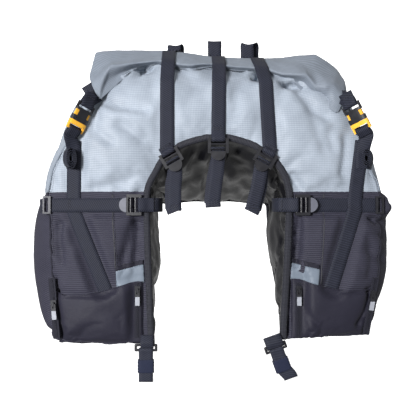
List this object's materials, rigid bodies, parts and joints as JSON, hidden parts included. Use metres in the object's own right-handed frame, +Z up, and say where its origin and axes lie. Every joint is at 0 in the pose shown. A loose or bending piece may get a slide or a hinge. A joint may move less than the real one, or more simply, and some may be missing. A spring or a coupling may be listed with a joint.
{
  "type": "pannier bag",
  "caption": "Soft straddle pannier in an inverted U, with a rolled top closure, crown straps with ladder locks, leg bands, side-release buckles and zipped leg pockets.",
  "frame": {"origin": "middle of the seat face, on the underside of the saddle panel", "axes": "+X across the bag to its right-hand leg as seen from the front, +Y from the strapped front to the back, +Z up towards the roll top"},
  "size_m": [0.668, 0.2991, 0.619],
  "materials": {
    "crown_fabric": "woven, coated",
    "leg_nylon": "ribbed ballistic nylon",
    "vinyl": "glossy vinyl",
    "binding": "textured tape",
    "filling": "paper and air",
    "foam": "closed-cell foam",
    "roll_fabric": "woven, coated",
    "stiffener": "matte",
    "pocket_fabric": "smooth coated",
    "reflective": "retroreflective, smooth",
    "zip_tape": "coil zip",
    "zip_metal": "satin",
    "zip_pull": "satin",
    "webbing": "woven webbing",
    "black_plastic": "satin moulded",
    "hook_metal": "satin",
    "yellow_plastic": "satin moulded",
    "ring_wire": "satin",
    "elastic": "woven elastic"
  },
  "bodies": {
    "bag": {"upper_shell": "crown_fabric", "left_leg_shell": "leg_nylon", "right_leg_shell": "leg_nylon", "saddle_panel": "vinyl", "left_inner_panel": "vinyl", "right_inner_panel": "vinyl", "front_edge_binding": "binding", "packing": "filling", "saddle_foam": "foam", "roll_top": "roll_fabric", "roll_stiffener": "stiffener", "left_pocket": "pocket_fabric", "right_pocket": "pocket_fabric", "left_reflector": "reflective", "right_reflector": "reflective", "left_outer_zip": "zip_tape", "left_inner_zip": "zip_tape", "right_inner_zip": "zip_tape", "right_outer_zip": "zip_tape", "left_front_strap": "webbing", "centre_front_strap": "webbing", "right_front_strap": "webbing", "left_leg_band": "webbing", "right_leg_band": "webbing", "left_band_hook": "hook_metal", "right_band_hook": "hook_metal", "left_roll_tab": "webbing", "right_roll_tab": "webbing", "left_buckle_socket": "black_plastic", "right_buckle_socket": "black_plastic", "left_side_strap": "webbing", "right_side_strap": "webbing", "left_top_loop": "webbing", "centre_top_loop": "webbing", "right_top_loop": "webbing", "bottom_rings": "ring_wire"},
    "left_front_lock_body": {"left_front_lock": "black_plastic"},
    "left_tail_body": {"left_strap_tail": "webbing"},
    "centre_front_lock_body": {"centre_front_lock": "black_plastic"},
    "centre_tail_body": {"centre_strap_tail": "webbing"},
    "right_front_lock_body": {"right_front_lock": "black_plastic"},
    "right_tail_body": {"right_strap_tail": "webbing"},
    "left_band_lock_body": {"left_band_lock": "black_plastic"},
    "right_band_lock_body": {"right_band_lock": "black_plastic"},
    "left_outer_slider_body": {"left_outer_slider": "zip_metal"},
    "left_outer_pull_body": {"left_outer_pull": "zip_pull"},
    "right_outer_slider_body": {"right_outer_slider": "zip_metal"},
    "right_outer_pull_body": {"right_outer_pull": "zip_pull"},
    "left_inner_slider_body": {"left_inner_slider": "zip_metal"},
    "left_inner_pull_body": {"left_inner_pull": "zip_pull"},
    "right_inner_slider_body": {"right_inner_slider": "zip_metal"},
    "right_inner_pull_body": {"right_inner_pull": "zip_pull"},
    "left_clip_body": {"left_buckle_clip": "yellow_plastic", "left_strap_roll": "webbing"},
    "left_hanging_body": {"left_bottom_strap": "webbing"},
    "left_keeper_body": {"left_keeper": "elastic"},
    "right_clip_body": {"right_buckle_clip": "yellow_plastic", "right_strap_roll": "webbing"},
    "right_hanging_body": {"right_bottom_strap": "webbing"},
    "right_keeper_body": {"right_keeper": "elastic"}
  },
  "joints": [
    {"name": "left_front_lock_tilt", "type": "hinge", "parent": "bag", "child": "left_front_lock_body", "pos_m": [-0.089, -0.1437, 0.034], "axis": [-0.866, 0, -0.5], "range_deg": [0, 38]},
    {"name": "left_tail_swing", "type": "hinge", "parent": "left_front_lock_body", "child": "left_tail_body", "pos_m": [-0.0805, -0.1437, 0.01928], "axis": [0.866, 0, 0.5], "range_deg": [0, 50]},
    {"name": "centre_front_lock_tilt", "type": "hinge", "parent": "bag", "child": "centre_front_lock_body", "pos_m": [0, -0.1437, 0.057], "axis": [-1, 0, 0], "range_deg": [0, 38]},
    {"name": "centre_tail_swing", "type": "hinge", "parent": "centre_front_lock_body", "child": "centre_tail_body", "pos_m": [0, -0.1437, 0.04], "axis": [1, 0, 0], "range_deg": [0, 50]},
    {"name": "right_front_lock_tilt", "type": "hinge", "parent": "bag", "child": "right_front_lock_body", "pos_m": [0.089, -0.1437, 0.034], "axis": [-0.866, 0, 0.5], "range_deg": [0, 38]},
    {"name": "right_tail_swing", "type": "hinge", "parent": "right_front_lock_body", "child": "right_tail_body", "pos_m": [0.0805, -0.1437, 0.01928], "axis": [0.866, 0, -0.5], "range_deg": [0, 50]},
    {"name": "left_band_lock_tilt", "type": "hinge", "parent": "bag", "child": "left_band_lock_body", "pos_m": [-0.138, -0.145, -0.059], "axis": [0, 0, 1], "range_deg": [0, 38]},
    {"name": "right_band_lock_tilt", "type": "hinge", "parent": "bag", "child": "right_band_lock_body", "pos_m": [0.138, -0.145, -0.059], "axis": [0, 0, -1], "range_deg": [0, 38]},
    {"name": "left_outer_zip_slide", "type": "slide", "parent": "bag", "child": "left_outer_slider_body", "axis": [0.0872, 0, -0.9962], "range_m": [-0.036, 0.05]},
    {"name": "left_outer_pull_swing", "type": "hinge", "parent": "left_outer_slider_body", "child": "left_outer_pull_body", "pos_m": [-0.29199, -0.1446, -0.23483], "axis": [-0.9962, 0, -0.0872], "range_deg": [0, 140]},
    {"name": "right_outer_zip_slide", "type": "slide", "parent": "bag", "child": "right_outer_slider_body", "axis": [-0.1736, 0, -0.9848], "range_m": [-0.02, 0.066]},
    {"name": "right_outer_pull_swing", "type": "hinge", "parent": "right_outer_slider_body", "child": "right_outer_pull_body", "pos_m": [0.27479, -0.1446, -0.21854], "axis": [-0.9848, 0, 0.1736], "range_deg": [0, 140]},
    {"name": "left_inner_zip_slide", "type": "slide", "parent": "bag", "child": "left_inner_slider_body", "axis": [0, 0, -1], "range_m": [-0.004, 0.058]},
    {"name": "left_inner_pull_swing", "type": "hinge", "parent": "left_inner_slider_body", "child": "left_inner_pull_body", "pos_m": [-0.143, -0.1446, -0.21], "axis": [-1, 0, 0], "range_deg": [0, 140]},
    {"name": "right_inner_zip_slide", "type": "slide", "parent": "bag", "child": "right_inner_slider_body", "axis": [0, 0, -1], "range_m": [-0.004, 0.058]},
    {"name": "right_inner_pull_swing", "type": "hinge", "parent": "right_inner_slider_body", "child": "right_inner_pull_body", "pos_m": [0.143, -0.1446, -0.21], "axis": [-1, 0, 0], "range_deg": [0, 140]},
    {"name": "left_buckle_release", "type": "slide", "parent": "bag", "child": "left_clip_body", "axis": [-0.454, 0, -0.891], "range_m": [0, 0.03]},
    {"name": "left_hanging_swing", "type": "hinge", "parent": "bag", "child": "left_hanging_body", "pos_m": [-0.128, -0.1426, -0.316], "axis": [1, 0, 0], "range_deg": [-60, 60]},
    {"name": "left_keeper_slide", "type": "slide", "parent": "left_hanging_body", "child": "left_keeper_body", "axis": [0, 0, -1], "range_m": [-0.01, 0.014]},
    {"name": "right_buckle_release", "type": "slide", "parent": "bag", "child": "right_clip_body", "axis": [0.454, 0, -0.891], "range_m": [0, 0.03]},
    {"name": "right_hanging_swing", "type": "hinge", "parent": "bag", "child": "right_hanging_body", "pos_m": [0.10308, -0.1426, -0.31546], "axis": [0.9397, 0, 0.342], "range_deg": [-60, 60]},
    {"name": "right_keeper_slide", "type": "slide", "parent": "right_hanging_body", "child": "right_keeper_body", "axis": [0.342, 0, -0.9397], "range_m": [-0.01, 0.014]}
  ]
}
